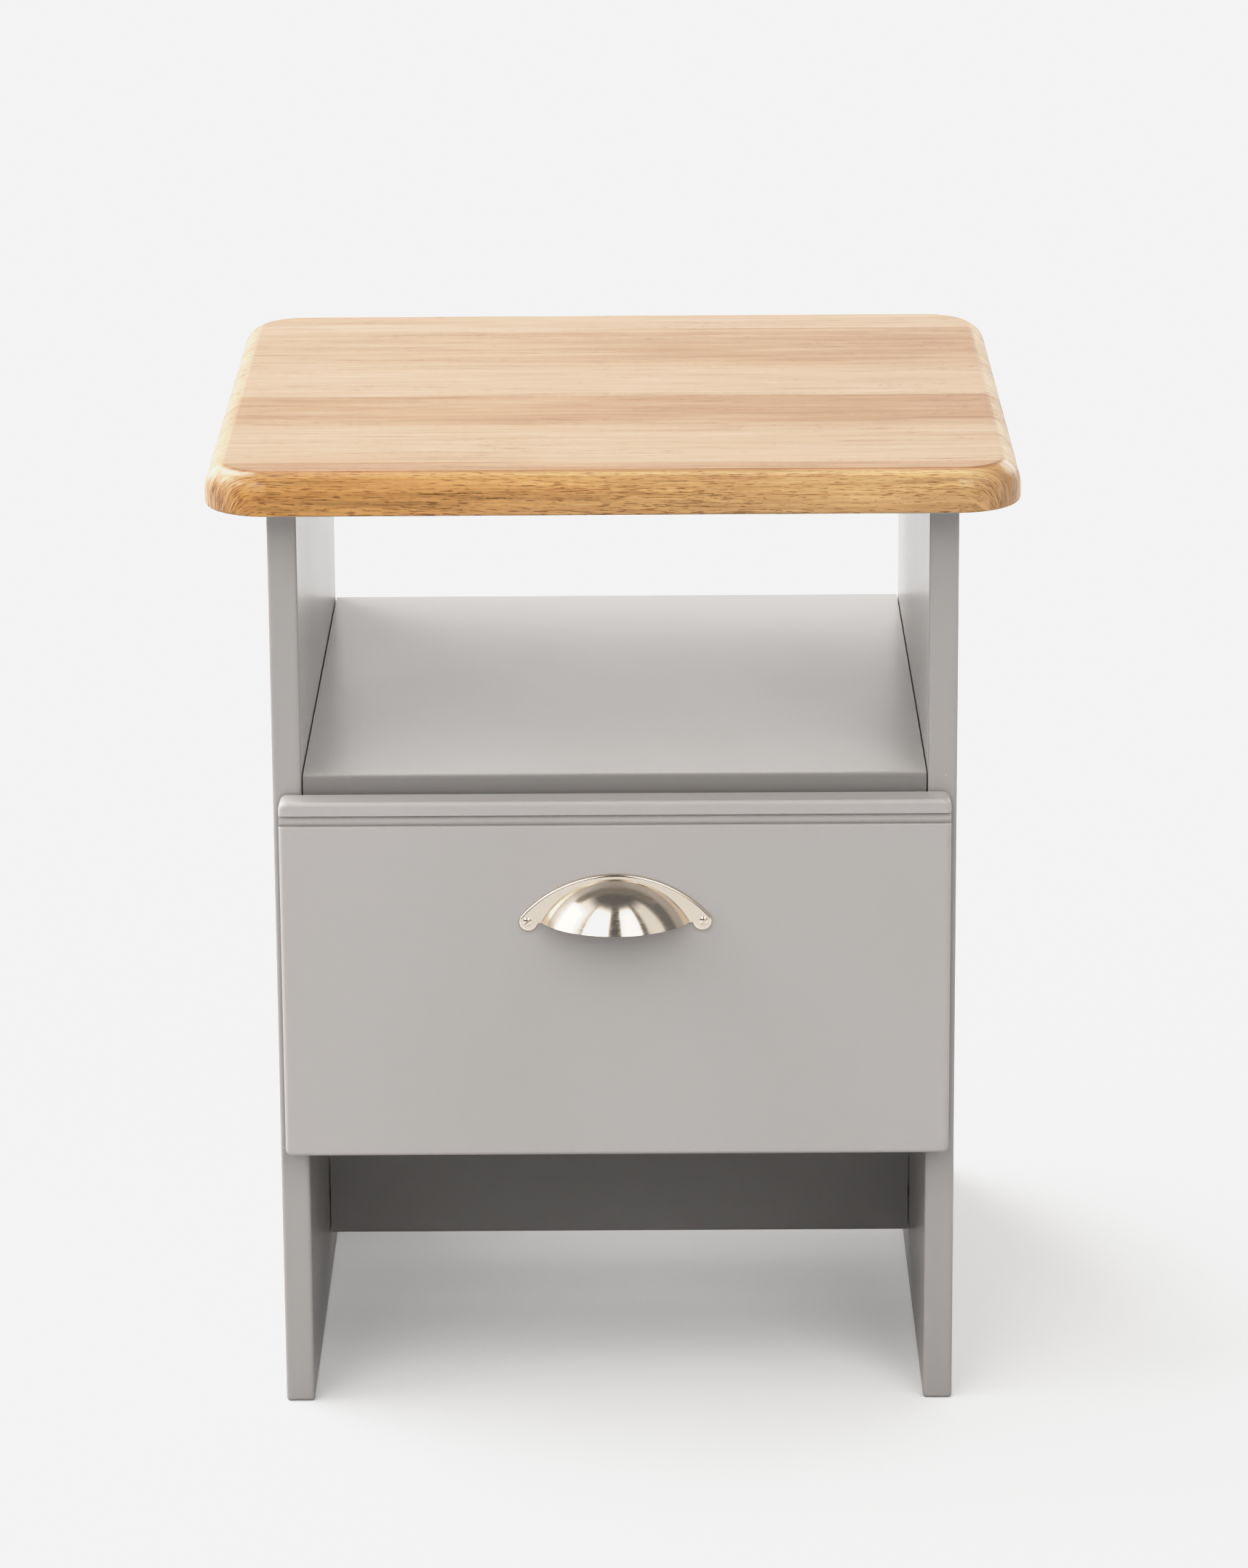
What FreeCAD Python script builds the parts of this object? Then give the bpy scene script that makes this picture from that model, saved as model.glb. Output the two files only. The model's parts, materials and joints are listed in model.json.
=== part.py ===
import FreeCAD, Part
import math
import os
from FreeCAD import Vector

# Lamp table: oak-effect top with a rounded edge, two slab sides, an open shelf,
# one deep drawer on roller runners and a low stretcher rail.
# Frame: X to the right seen from the front, Y from front to back, Z up.
# Origin: centre of the bounding box, on the floor.  Millimetres.

# ---------------------------------------------------------------- driving sizes
board = 16.0                 # thickness of the grey boards

panel_width_over = 372.0     # outside of one side panel to outside of the other
panel_depth = 377.0
panel_height = 517.0
panel_round = 2.0            # rounding of the panel's edges

top_width = 438.0
top_depth = 405.0
top_thick = 23.0
top_corner = 35.0            # plan radius of the corners
top_rim = 10.8               # width of the shaped rim, from the flat to the edge
top_rim_break = 15.0         # slope where the rim leaves the flat, degrees
top_under_round = 2.0

shelf_top_z = 365.0
shelf_set_back = 1.0         # shelf's front edge behind the panels' front edges
end_gap = 0.6                # shadow gap at each end of the shelf and the rail

rail_y = 182.0               # rail's front face behind the panels' front edges
rail_bottom_z = 29.5
rail_height = 84.0

back_bottom_z = 150.5        # lower edge of the back panel behind the drawer

front_gap = 2.0              # gap between the drawer front and the panels
front_width = 364.0
front_bottom_z = 152.2
front_top_z = 355.2
front_corner = 4.0           # outline radius of the drawer front's corners
front_round = 2.4            # rounding of its front edges
nose_bottom_z = 347.6        # lower edge of the moulded nose
groove_bottom_z = 341.5      # lower lip of the moulded groove
groove_depth = 3.2
groove_crown = 1.3           # how far the groove's back wall swells forward

runner_space = 12.5          # side clearance taken by each runner
runner_z = 160.0             # underside of the cabinet runner
runner_front = 2.0           # runner's front end behind the panels' front edges
runner_length = 300.0
sheet = 1.2                  # runner sheet thickness
roller_r = 10.0
roller_w = 8.0
axle_r = 2.6
axle_play = 0.08

side_thick = 12.0            # drawer side and drawer back
side_bottom_z = 168.0
side_top_z = 314.0
side_length = 330.0
bottom_thick = 3.0
bottom_z = 176.1             # underside of the drawer bottom
groove_in = 5.5              # depth of the grooves that hold the drawer bottom

handle_screw_pitch = 96.0
handle_screw_z = 288.0
handle_top_z = 314.6
handle_lug_x = 47.2          # centres of the flange's rounded ends
handle_lug_z = 287.7
handle_lug_r = 5.3
handle_flange = 2.2
handle_edge = 1.4             # rounding of the flange's outer edge
handle_crease = 0.35          # radius of the fine crease around the foot of the cup
handle_lip_z = 287.3
cup_r = 49.7                 # outer radius of the spherical cup
cup_sheet = 1.4
cup_back = 20.7              # centre of the cup behind the flange's front
cup_centre_z = 266.4

cam_in = 24.0                # cam centre from the joint
cam_r = 7.5
cam_deep = 12.5
thread_len = 11.0
dowel_r = 4.0

# ---------------------------------------------------------------- derived places
cup_reach = cup_back * -1 + math.sqrt(cup_r ** 2 - (handle_lip_z - cup_centre_z) ** 2)
front_reach = front_gap + board + handle_flange + cup_reach
yp = -(panel_depth - front_reach) / 2.0       # front edges of the panels
xo = panel_width_over / 2.0
xi = xo - board                               # inner faces of the panels
top_z = panel_height + top_thick
face_y = yp - front_gap - board               # face of the drawer front
front_back_y = yp - front_gap                 # back of the drawer front
shelf_z = shelf_top_z - board
back_y = yp + panel_depth - board
xs = xi - runner_space                        # outside of the drawer sides
side_back_y = front_back_y + side_length


# ---------------------------------------------------------------- helpers
def box(x0, x1, y0, y1, z0, z1):
    return Part.makeBox(x1 - x0, y1 - y0, z1 - z0, Vector(x0, y0, z0))


def cyl(p, d, r, h):
    return Part.makeCylinder(r, h, Vector(p), Vector(d))


def cone(p, d, r1, r2, h):
    return Part.makeCone(r1, r2, h, Vector(p), Vector(d))


def fuse(shapes):
    out = shapes[0]
    for s in shapes[1:]:
        out = out.fuse(s)
    return out.removeSplitter()


def ends(e):
    a, b = e.Vertexes[0].Point, e.Vertexes[-1].Point
    return a, b


def along(e, axis):
    a, b = ends(e)
    d = b - a
    if d.Length < 1e-6:
        return False
    return abs(abs(d.dot(Vector(axis))) - d.Length) < 1e-6


def both(e, key, value):
    a, b = ends(e)
    return abs(getattr(a, key) - value) < 1e-6 and abs(getattr(b, key) - value) < 1e-6


cuts = {}
groups = {}


def cut_from(node, tool):
    cuts.setdefault(node, []).append(tool)


def add_to(node, solid):
    groups.setdefault(node, []).append(solid)


def cam_joint(p, d, n, holder, carrier, bolts, cams, face_off=8.0, r=None, deep=None, bolt_r=3.0):
    """Bolt screwed into holder at p, drawn along d into carrier by a cam set in the face with normal n."""
    r = r or cam_r
    deep = deep or cam_deep
    p, d, n = Vector(p), Vector(d), Vector(n)
    head_r = bolt_r + 0.4
    c = p + d * cam_in
    bolt = fuse([
        cyl(p - d * thread_len, d, bolt_r, thread_len),
        cyl(p, d, bolt_r - 0.5, cam_in - 4.0),
        cyl(p + d * (cam_in - 4.0), d, bolt_r - 1.2, 2.6),
        cyl(p + d * (cam_in - 1.4), d, head_r, 3.0),
    ])
    add_to(bolts, bolt)
    cut_from(holder, cyl(p - d * (thread_len + 0.5), d, bolt_r + 0.05, thread_len + 1.0))
    cut_from(carrier, cyl(p - d, d, head_r + 0.2, cam_in + 1.0))
    face = c + n * face_off
    cut_from(carrier, cyl(face + n, n * -1, r + 0.1, deep + 1.2))
    cam = cyl(face - n * 0.2, n * -1, r, deep - 0.2)
    cam = cam.cut(cyl(c - d * (r + 1.0), d, head_r + 0.4, r + 1.0 + 2.6))
    side = d.cross(n)
    slot_deep = min(2.2, face_off - head_r - 0.4 - 0.6)
    for u, v in ((d, side), (side, d)):
        o = face - u * (r * 0.62) - v * 0.7 - n * slot_deep
        pts = [o, o + u * (r * 1.24), o + u * (r * 1.24) + v * 1.4, o + v * 1.4, o]
        cam = cam.cut(Part.Face(Part.makePolygon(pts)).extrude(n * (slot_deep + 1.0)))
    add_to(cams, cam)


def dowel_joint(p, d, holder, carrier, node, r=None, into=11.5, on=18.5):
    """Fluted-length wooden dowel across the joint at p."""
    r = r or dowel_r
    p, d = Vector(p), Vector(d)
    body = cyl(p - d * into, d, r, into + on)
    body = body.makeChamfer(0.9, [e for e in body.Edges if isinstance(e.Curve, Part.Circle)])
    add_to(node, body)
    cut_from(holder, cyl(p - d * (into + 0.5), d, r + 0.05, into + 1.5))
    cut_from(carrier, cyl(p - d, d, r + 0.05, on + 1.5))


def pan_screw(p, d, r, length, head_r, head_h):
    """Pan-head screw, head under side at p, shank along d."""
    p, d = Vector(p), Vector(d)
    head = cyl(p - d * head_h, d, head_r, head_h)
    top = [e for e in head.Edges if isinstance(e.Curve, Part.Circle)
           and abs((e.Curve.Center - (p - d * head_h)).Length) < 1e-6]
    head = head.makeFillet(head_h * 0.5, top)
    shank = cyl(p, d, r, length - r * 1.6)
    tip = cone(p + d * (length - r * 1.6), d, r, 0.3, r * 1.6)
    s = fuse([head, shank, tip])
    side = Vector(0, 0, 1).cross(d)
    if side.Length < 0.5:
        side = Vector(1, 0, 0)
    other = d.cross(side)
    for u, v in ((side, other), (other, side)):
        o = p - d * (head_h + 0.2) - u * (head_r * 0.5) - v * 0.35
        pts = [o, o + u * head_r, o + u * head_r + v * 0.7, o + v * 0.7, o]
        s = s.cut(Part.Face(Part.makePolygon(pts)).extrude(d * (head_h * 0.55 + 0.2)))
    return s


# ---------------------------------------------------------------- boards
def table_top():
    w, dp = top_width, top_depth
    y0 = yp + panel_depth - dp
    yc = y0 + dp / 2.0
    a = math.radians(top_rim_break)
    arc_r = top_rim / (1.0 - math.sin(a))
    drop = arc_r * math.cos(a)
    mid = math.radians((top_rim_break + 90.0) / 2.0)
    u = top_under_round

    # rim section: s outward from the flat, z from the top face
    sec = [(0.0, 0.0),
           (top_rim - arc_r + arc_r * math.sin(mid), -drop + arc_r * math.cos(mid)),
           (top_rim, -drop),
           (top_rim, -top_thick + u),
           (top_rim - u + u * math.cos(math.radians(45)), -top_thick + u - u * math.sin(math.radians(45))),
           (top_rim - u, -top_thick),
           (0.0, -top_thick)]

    def section(origin, out):
        q = [origin + out * s + Vector(0, 0, z) for s, z in sec]
        edges = [Part.Arc(q[0], q[1], q[2]).toShape(),
                 Part.makeLine(q[2], q[3]),
                 Part.Arc(q[3], q[4], q[5]).toShape(),
                 Part.makeLine(q[5], q[6]),
                 Part.makeLine(q[6], q[0])]
        return Part.Face(Part.Wire(edges))

    cx, cy = w / 2.0 - top_corner, dp / 2.0 - top_corner
    ri = top_corner - top_rim
    pieces = []
    # flat core with rounded corners
    core = box(-w / 2.0 + top_rim, w / 2.0 - top_rim, yc - dp / 2.0 + top_rim, yc + dp / 2.0 - top_rim,
               panel_height, top_z)
    core = core.makeFillet(ri, [e for e in core.Edges if along(e, (0, 0, 1))])
    pieces.append(core)
    # straight rims
    for sx in (-1, 1):
        f = section(Vector(sx * (w / 2.0 - top_rim), yc - cy, top_z), Vector(sx, 0, 0))
        pieces.append(f.extrude(Vector(0, 2 * cy, 0)))
    for sy in (-1, 1):
        f = section(Vector(-cx, yc + sy * (dp / 2.0 - top_rim), top_z), Vector(0, sy, 0))
        pieces.append(f.extrude(Vector(2 * cx, 0, 0)))
    # corner rims, turned about the corner centres
    for sx, sy, start in ((1, 1, 0), (-1, 1, 90), (-1, -1, 180), (1, -1, 270)):
        c = Vector(sx * cx, yc + sy * cy, top_z)
        out = Vector(math.cos(math.radians(start)), math.sin(math.radians(start)), 0)
        f = section(c + out * ri, out)
        pieces.append(f.revolve(c, Vector(0, 0, 1), 90.0))
    return fuse(pieces)


def side_panel(sx):
    x0, x1 = (xi, xo) if sx > 0 else (-xo, -xi)
    s = box(x0, x1, yp, yp + panel_depth, 0.0, panel_height)
    pick = [e for e in s.Edges if along(e, (0, 0, 1)) or both(e, "z", 0.0)]
    return s.makeFillet(panel_round, pick)


def cross_board(y0, y1, z0, z1, rounded):
    s = box(-xi + end_gap, xi - end_gap, y0, y1, z0, z1)
    pick = [e for e in s.Edges if along(e, (1, 0, 0)) and rounded(e)]
    return s.makeFillet(panel_round, pick)


def drawer_front():
    hw = front_width / 2.0
    s = box(-hw, hw, face_y, front_back_y, front_bottom_z, front_top_z)
    s = s.makeFillet(front_corner, [e for e in s.Edges if along(e, (0, 1, 0))])
    s = s.makeFillet(front_round, [e for e in s.Edges if both(e, "y", face_y)])
    # moulded groove: flat lower lip, swelling back wall, square upper wall under the nose
    g = face_y + groove_depth
    zm = (nose_bottom_z + groove_bottom_z) / 2.0
    p = [Vector(-hw - 1, face_y - 1.0, groove_bottom_z), Vector(-hw - 1, g, groove_bottom_z),
         Vector(-hw - 1, g - groove_crown, zm), Vector(-hw - 1, g, nose_bottom_z),
         Vector(-hw - 1, face_y - 1.0, nose_bottom_z)]
    w = Part.Wire([Part.makeLine(p[0], p[1]), Part.Arc(p[1], p[2], p[3]).toShape(),
                   Part.makeLine(p[3], p[4]), Part.makeLine(p[4], p[0])])
    s = s.cut(Part.Face(w).extrude(Vector(front_width + 2.0, 0, 0)))
    # ease the two arrises of the groove
    arris = [e for e in s.Edges if along(e, (1, 0, 0)) and both(e, "y", face_y)
             and (both(e, "z", groove_bottom_z) or both(e, "z", nose_bottom_z))]
    return s.makeFillet(0.5, arris)


solids = {}
solids["table_top"] = table_top()
solids["left_side_panel"] = side_panel(-1)
solids["right_side_panel"] = side_panel(1)
solids["shelf"] = cross_board(yp + shelf_set_back, yp + panel_depth, shelf_z, shelf_top_z, lambda e: True)
solids["lower_rail"] = cross_board(yp + rail_y, yp + rail_y + board, rail_bottom_z, rail_bottom_z + rail_height,
                                   lambda e: True)
solids["back_panel"] = cross_board(back_y, back_y + board, back_bottom_z, shelf_z,
                                   lambda e: both(e, "z", back_bottom_z))
solids["drawer_front"] = drawer_front()

for sx, name in ((-1, "left"), (1, "right")):
    x0, x1 = (xs - side_thick, xs) if sx > 0 else (-xs, -xs + side_thick)
    s = box(x0, x1, front_back_y, side_back_y, side_bottom_z, side_top_z)
    s = s.makeFillet(1.2, [e for e in s.Edges if both(e, "z", side_top_z) and along(e, (0, 1, 0))])
    solids["drawer_%s_side" % name] = s
    gx = sx * (xs - side_thick)
    cut_from("drawer_%s_side" % name,
             box(min(gx, gx + sx * groove_in) - (1 if sx > 0 else 0), max(gx, gx + sx * groove_in) + (1 if sx < 0 else 0),
                 front_back_y - 1, side_back_y + 1, bottom_z - 0.1, bottom_z + bottom_thick + 0.1))
xd = xs - side_thick                                   # inside of the drawer sides
cut_from("drawer_front", box(-xd - groove_in, xd + groove_in, front_back_y - groove_in, front_back_y + 1,
                             bottom_z - 0.1, bottom_z + bottom_thick + 0.1))
solids["drawer_bottom"] = box(-xd - groove_in + 0.5, xd + groove_in - 0.5, front_back_y - groove_in + 0.5, side_back_y,
                              bottom_z, bottom_z + bottom_thick)
db = box(-xd, xd, side_back_y - side_thick, side_back_y, bottom_z + bottom_thick, side_top_z - 8.0)
solids["drawer_back"] = db.makeFillet(1.2, [e for e in db.Edges if both(e, "z", side_top_z - 8.0) and along(e, (1, 0, 0))])

# ---------------------------------------------------------------- carcass joints
for sx, name in ((-1, "left"), (1, "right")):
    panel = "%s_side_panel" % name
    inward = Vector(-sx, 0, 0)
    xm = sx * (xo - board / 2.0)
    xe = sx * (xi - end_gap)
    # top on the panels
    for y in (112.0, 312.0):
        cam_joint((xm, yp + y, panel_height), (0, 0, -1), inward, "table_top", panel, "cam_bolts", "cam_locks")
    for y in (60.0, 349.0):
        dowel_joint((xm, yp + y, panel_height), (0, 0, -1), "table_top", panel, "wooden_dowels")
    # shelf between the panels, cams in its underside
    for y in (70.0, 297.0):
        cam_joint((sx * xi, yp + y, shelf_z + board / 2.0), inward, (0, 0, -1), panel, "shelf", "cam_bolts", "cam_locks")
    for y in (125.0, 339.0):
        dowel_joint((sx * xi, yp + y, shelf_z + board / 2.0), inward, panel, "shelf", "wooden_dowels")
    # stretcher rail, cams in its back face
    cam_joint((sx * xi, yp + rail_y + board / 2.0, rail_bottom_z + 54.0), inward, (0, 1, 0), panel, "lower_rail",
              "cam_bolts", "cam_locks")
    dowel_joint((sx * xi, yp + rail_y + board / 2.0, rail_bottom_z + 22.0), inward, panel, "lower_rail", "wooden_dowels")
    # back panel, cams in its inner face
    for z in (186.0, 312.0):
        cam_joint((sx * xi, back_y + board / 2.0, z), inward, (0, -1, 0), panel, "back_panel", "cam_bolts", "cam_locks")
    for z in (220.0, 276.0):
        dowel_joint((sx * xi, back_y + board / 2.0, z), inward, panel, "back_panel", "wooden_dowels")
    # drawer front on the drawer sides, small cams in the sides' inner faces
    side = "drawer_%s_side" % name
    xsm = sx * (xs - side_thick / 2.0)
    for z in (206.0, 288.0):
        cam_joint((xsm, front_back_y, z), (0, 1, 0), inward, "drawer_front", side, "drawer_cam_bolts", "drawer_cam_locks",
                  face_off=side_thick / 2.0, r=6.0, deep=9.6, bolt_r=2.4)
    for z in (232.0, 262.0):
        dowel_joint((xsm, front_back_y, z), (0, 1, 0), "drawer_front", side, "drawer_dowels", r=3.0, into=10.0, on=18.0)
    # drawer back between the sides
    for z in (208.0, 282.0):
        p = Vector(sx * xs, side_back_y - side_thick / 2.0, z)
        scr = fuse([cone(p, inward, 3.9, 2.0, 2.8), cyl(p + inward * 2.8, inward, 2.0, 32.0),
                    cone(p + inward * 34.8, inward, 2.0, 0.4, 3.2)])
        slot = box(p.x - 1.1, p.x + 1.1, p.y - 2.4, p.y + 2.4, p.z - 0.45, p.z + 0.45)
        scr = scr.cut(slot).cut(box(p.x - 1.1, p.x + 1.1, p.y - 0.45, p.y + 0.45, p.z - 2.4, p.z + 2.4))
        add_to("drawer_back_screws", scr)
        cut_from(side, fuse([cone(p, inward, 3.95, 2.05, 2.8), cyl(p + inward * 2.8, inward, 2.05, 12.0)]))
        cut_from("drawer_back", cyl(p + inward * 10.0, inward, 2.05, 28.6))
for x in (-92.0, 92.0):
    p = Vector(x, side_back_y - side_thick / 2.0, bottom_z)
    add_to("drawer_bottom_screws", pan_screw(p, (0, 0, 1), 1.5, 16.0, 2.9, 1.6))
    cut_from("drawer_bottom", cyl(p - Vector(0, 0, 1), (0, 0, 1), 1.6, 6.0))
    cut_from("drawer_back", cyl(p, (0, 0, 1), 1.55, 16.5))

# ---------------------------------------------------------------- roller runners
y0, y1 = yp + runner_front, yp + runner_front + runner_length
front_axle = Vector(0, y0 + 15.0, runner_z + 18.0)
rear_axle = Vector(0, y1 - 12.0, runner_z + sheet + 0.3 + roller_r)
track_z = front_axle.z + roller_r + 0.25              # underside of the drawer runner's track


def span(sx, a, b):
    """Ordered pair of X places for distances a and b in from the panel's inner face."""
    p, q = sx * (xi - a), sx * (xi - b)
    return min(p, q), max(p, q)


def roller(sx, a, centre):
    lo, hi = span(sx, a, a + roller_w)
    s = cyl((lo, centre.y, centre.z), (1, 0, 0), roller_r, roller_w)
    s = s.makeFillet(0.8, [e for e in s.Edges if isinstance(e.Curve, Part.Circle)])
    s = s.cut(cyl((lo - 1, centre.y, centre.z), (1, 0, 0), axle_r + axle_play, roller_w + 2))
    ring = cyl((lo - 1, centre.y, centre.z), (1, 0, 0), 8.0, 2.0).cut(cyl((lo - 1, centre.y, centre.z), (1, 0, 0), 5.2, 2.0))
    s = s.cut(ring)
    ring2 = ring.copy()
    ring2.translate(Vector(roller_w, 0, 0))
    return s.cut(ring2)


for sx, name in ((-1, "left"), (1, "right")):
    panel = "%s_side_panel" % name
    side = "drawer_%s_side" % name
    inward = Vector(-sx, 0, 0)
    zr = runner_z

    # cabinet runner: web on the panel, lower track, upper keeper behind the front roller
    a0, a1 = span(sx, 0.0, sheet)
    web = box(a0, a1, y0, y1, zr, zr + 42.0)
    web = web.makeFillet(4.0, [e for e in web.Edges if along(e, (1, 0, 0)) and both(e, "z", zr + 42.0)])
    b0, b1 = span(sx, sheet - 0.01, 10.7)
    track = box(b0, b1, y0, y1, zr, zr + sheet)
    c0, c1 = span(sx, sheet - 0.01, 9.7)
    keeper_z = rear_axle.z + roller_r + 0.3
    keeper = box(c0, c1, y0 + 30.0, y1, keeper_z, keeper_z + sheet)
    runner = fuse([web, track, keeper])
    runner = runner.cut(cyl(Vector(sx * (xi + 1), front_axle.y, front_axle.z), inward, axle_r + 0.03, 4.0))
    for y in (28.0, 150.0, 272.0):
        p = Vector(sx * (xi - sheet), y0 + y, zr + 36.0)
        d = Vector(sx, 0, 0)
        add_to("runner_screws", pan_screw(p, d, 1.75, 13.0, 3.3, 1.8))
        runner = runner.cut(cyl(p - d, d, 1.95, 4.0))
        cut_from(panel, cyl(p, d, 1.8, 13.4))
    solids["%s_cabinet_runner" % name] = runner

    # front roller and its rivet on the cabinet runner
    solids["%s_front_roller" % name] = roller(sx, sheet + 0.4, front_axle)
    p = Vector(sx * xi, front_axle.y, front_axle.z)
    reach = sheet + 0.4 + roller_w + 0.4
    riv = fuse([cyl(p, inward, axle_r, reach), cyl(p + inward * reach, inward, 4.2, 0.8)])
    add_to("cabinet_roller_rivets", riv)

    # drawer runner: web on the drawer side, ledge under it, track over the front roller
    e0, e1 = span(sx, runner_space - sheet, runner_space)
    dweb = box(e0, e1, y0, y1, side_bottom_z - sheet, track_z + sheet)
    f0, f1 = span(sx, runner_space - 0.01, runner_space + side_thick - 0.8)
    ledge = box(f0, f1, y0, y1, side_bottom_z - sheet, side_bottom_z)
    g0, g1 = span(sx, 2.6, runner_space - sheet + 0.01)
    over = box(g0, g1, y0, y1, track_z, track_z + sheet)
    drunner = fuse([dweb, ledge, over])
    drunner = drunner.cut(cyl(Vector(sx * (xs - 1), rear_axle.y, rear_axle.z), inward * -1, axle_r + 0.03, 4.0))
    for y in (40.0, 150.0, 255.0):
        p = Vector(sx * (xs - 3.5), y0 + y, side_bottom_z - sheet)
        d = Vector(0, 0, 1)
        add_to("drawer_runner_screws", pan_screw(p, d, 1.75, 14.0, 3.0, 1.6))
        drunner = drunner.cut(cyl(p - d, d, 1.95, 4.0))
        cut_from(side, cyl(p, d, 1.8, 14.4))
    solids["%s_drawer_runner" % name] = drunner

    # rear roller and its rivet on the drawer runner
    a = runner_space - sheet - 0.4 - roller_w
    solids["%s_rear_roller" % name] = roller(sx, a, rear_axle)
    p = Vector(sx * xs, rear_axle.y, rear_axle.z)
    outward = inward * -1
    reach = sheet + 0.4 + roller_w + 0.4
    riv = fuse([cyl(p, outward, axle_r, reach), cyl(p + outward * reach, outward, 4.2, 0.8)])
    add_to("drawer_roller_rivets", riv)

# ---------------------------------------------------------------- cup handle
hx = handle_screw_pitch / 2.0
fy = face_y - handle_flange                           # front of the flange
# outer arc of the flange: through the top point, tangent to both rounded ends
rise = handle_top_z - handle_lug_z
handle_arc_r = (handle_lug_x ** 2 + rise ** 2 - handle_lug_r ** 2) / (2.0 * (rise - handle_lug_r))
arc_c = Vector(0, face_y, handle_top_z - handle_arc_r)
lug = {s: Vector(s * handle_lug_x, face_y, handle_lug_z) for s in (-1, 1)}


def on_lug(s, deg):
    a = math.radians(deg)
    return lug[s] + Vector(s * math.cos(a), 0, math.sin(a)) * handle_lug_r


t = math.degrees(math.atan2(handle_lug_z - arc_c.z, handle_lug_x))
inner = 180.0 + math.degrees(math.asin((handle_lug_z - handle_lip_z) / handle_lug_r))
mid_deg = (t + inner - 360.0) / 2.0
top_point = arc_c + Vector(0, 0, handle_arc_r)
right_t, left_t = on_lug(1, t), on_lug(-1, t)
wire = Part.Wire([
    Part.Arc(left_t, top_point, right_t).toShape(),
    Part.Arc(right_t, on_lug(1, mid_deg), on_lug(1, inner)).toShape(),
    Part.makeLine(on_lug(1, inner), on_lug(-1, inner)),
    Part.Arc(on_lug(-1, inner), on_lug(-1, mid_deg), left_t).toShape(),
])
flange = Part.Face(wire).extrude(Vector(0, -handle_flange, 0))
rim = [e for e in flange.Edges if both(e, "y", fy) and isinstance(e.Curve, Part.Circle)]
flange = flange.makeFillet(handle_edge, rim)
centre = Vector(0, fy + cup_back, cup_centre_z)
outer = Part.makeSphere(cup_r, centre)
keep = box(-60, 60, fy - 60, fy + 0.01, handle_lip_z, handle_lip_z + 60)
dome = outer.common(keep)
cup = flange.fuse(dome).cut(Part.makeSphere(cup_r - cup_sheet, centre)).removeSplitter()
foot_r = math.sqrt(cup_r ** 2 - cup_back ** 2)        # where the cup meets the flange
cup = cup.cut(Part.makeTorus(foot_r + 0.1, handle_crease, Vector(0, fy, cup_centre_z), Vector(0, 1, 0)))
for s in (-1, 1):
    p = Vector(s * hx, fy, handle_screw_z)
    d = Vector(0, 1, 0)
    cup = cup.cut(cone(p, d, 2.55, 1.55, 1.0)).cut(cyl(p - d, d, 1.55, 6.0))
    slot_turn = 42.0 if s < 0 else 52.0
    head = fuse([cone(p, d, 2.5, 1.5, 1.0), cyl(p + d * 1.0, d, 1.5, 11.0), cone(p + d * 12.0, d, 1.5, 0.3, 2.2)])
    cap = Part.makeSphere(4.2, p + d * (math.sqrt(4.2 ** 2 - 2.5 ** 2))).common(
        box(p.x - 3, p.x + 3, p.y - 3, p.y + 0.001, p.z - 3, p.z + 3))
    head = head.fuse(cap).removeSplitter()
    slot = box(p.x - 3, p.x + 3, p.y - 2.0, p.y + 0.35, p.z - 0.42, p.z + 0.42)
    slot.rotate(p, Vector(0, 1, 0), -slot_turn)
    add_to("handle_screws", head.cut(slot))
    cut_from("drawer_front", cyl(Vector(p.x, face_y - 1.0, p.z), d, 1.55, 14.6))
solids["cup_handle"] = cup

# ---------------------------------------------------------------- holes, then files
for node, tools in cuts.items():
    s = solids[node]
    for tool in tools:
        s = s.cut(tool)
    solids[node] = s

os.makedirs("parts", exist_ok=True)
for old in os.listdir("parts"):
    if old.endswith(".step"):
        os.remove(os.path.join("parts", old))

total = None
for node in sorted(list(solids) + list(groups)):
    if node in solids:
        shape = solids[node]
        if shape.ShapeType != "Solid":
            found = shape.Solids
            if len(found) != 1:
                print("WARNING", node, "has", len(found), "solids")
            shape = found[0]
    else:
        parts = []
        for g in groups[node]:
            if len(g.Solids) != 1:
                print("WARNING", node, "piece has", len(g.Solids), "solids")
            parts.extend(g.Solids)
        shape = Part.makeCompound(parts)
    if not shape.isValid():
        print("WARNING", node, "is not valid")
    bb = shape.BoundBox
    print("%-24s %8.1f..%7.1f %8.1f..%7.1f %8.1f..%7.1f  vol %.0f" % (
        node, bb.XMin, bb.XMax, bb.YMin, bb.YMax, bb.ZMin, bb.ZMax, shape.Volume))
    total = bb if total is None else total.united(bb)
    shape.exportStep("parts/%s.step" % node)
print("whole", total)
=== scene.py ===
import json
import math
import bpy
from mathutils import Matrix, Vector

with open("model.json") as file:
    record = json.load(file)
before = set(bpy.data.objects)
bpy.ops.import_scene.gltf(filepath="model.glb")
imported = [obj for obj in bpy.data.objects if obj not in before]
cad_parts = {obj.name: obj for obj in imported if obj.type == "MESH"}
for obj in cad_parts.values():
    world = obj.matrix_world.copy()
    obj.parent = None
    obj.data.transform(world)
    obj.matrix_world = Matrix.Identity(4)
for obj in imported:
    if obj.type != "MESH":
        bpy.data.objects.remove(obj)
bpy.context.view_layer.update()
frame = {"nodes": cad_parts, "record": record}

scene = bpy.context.scene


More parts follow.
